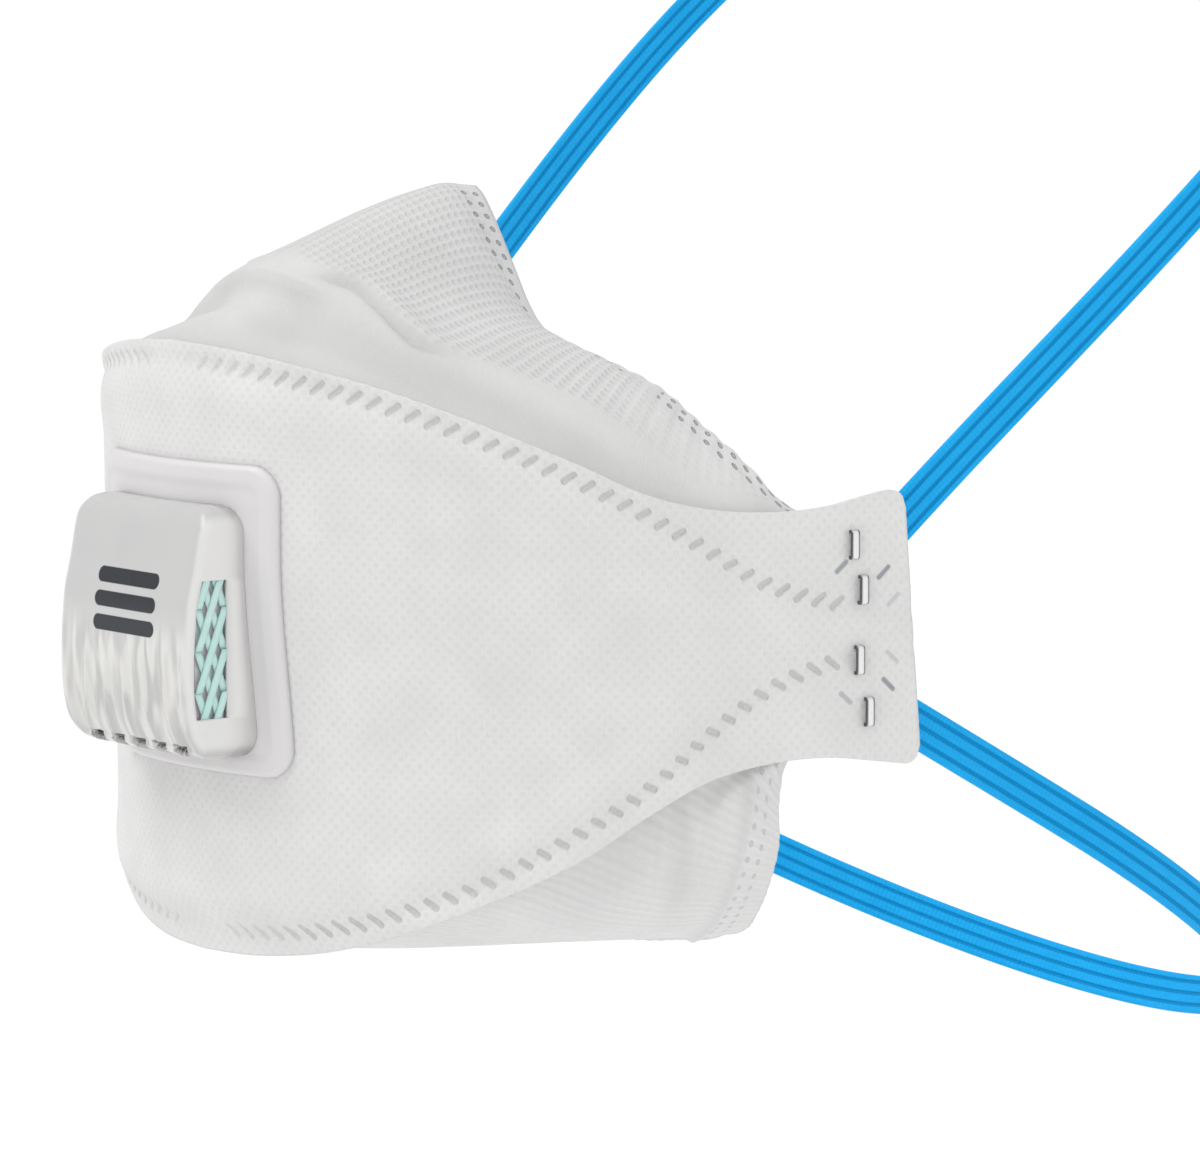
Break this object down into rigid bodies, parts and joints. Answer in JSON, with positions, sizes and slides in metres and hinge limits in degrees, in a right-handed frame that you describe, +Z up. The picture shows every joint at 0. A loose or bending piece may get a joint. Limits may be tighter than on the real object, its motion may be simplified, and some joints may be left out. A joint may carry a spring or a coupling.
{
  "type": "folding respirator mask",
  "caption": "Three-panel fold-flat respirator, opened as worn, with an exhalation valve, stapled tabs and two elastic headbands that run round the head.",
  "frame": {"origin": "underside of the nose panel's edge where it sits on the bridge of the nose, in the middle plane", "axes": "+X to the wearer's left, +Y from the front of the mask into the face and towards the back of the head, +Z up"},
  "size_m": [0.155, 0.2307, 0.2205],
  "materials": {
    "cover_cloth": "white spunbonded cloth with a fine bonding pattern",
    "web_cloth": "white embossed spunbonded cloth",
    "white_plastic": "satin moulded plastic",
    "clear_plastic": "clear moulded plastic, slightly milky",
    "flap_rubber": "soft aqua silicone sheet",
    "blue_elastic": "ribbed elastic webbing",
    "staple_wire": "bright flat wire"
  },
  "bodies": {
    "root": {"centre_panel": "cover_cloth", "nose_panel": "web_cloth", "chin_panel": "web_cloth", "valve_base": "white_plastic", "valve_flap": "flap_rubber", "valve_cover": "clear_plastic", "upper_headband": "blue_elastic", "lower_headband": "blue_elastic", "staple_left_1": "staple_wire", "staple_left_2": "staple_wire", "staple_left_3": "staple_wire", "staple_left_4": "staple_wire", "staple_right_1": "staple_wire", "staple_right_2": "staple_wire", "staple_right_3": "staple_wire", "staple_right_4": "staple_wire"}
  },
  "joints": []
}
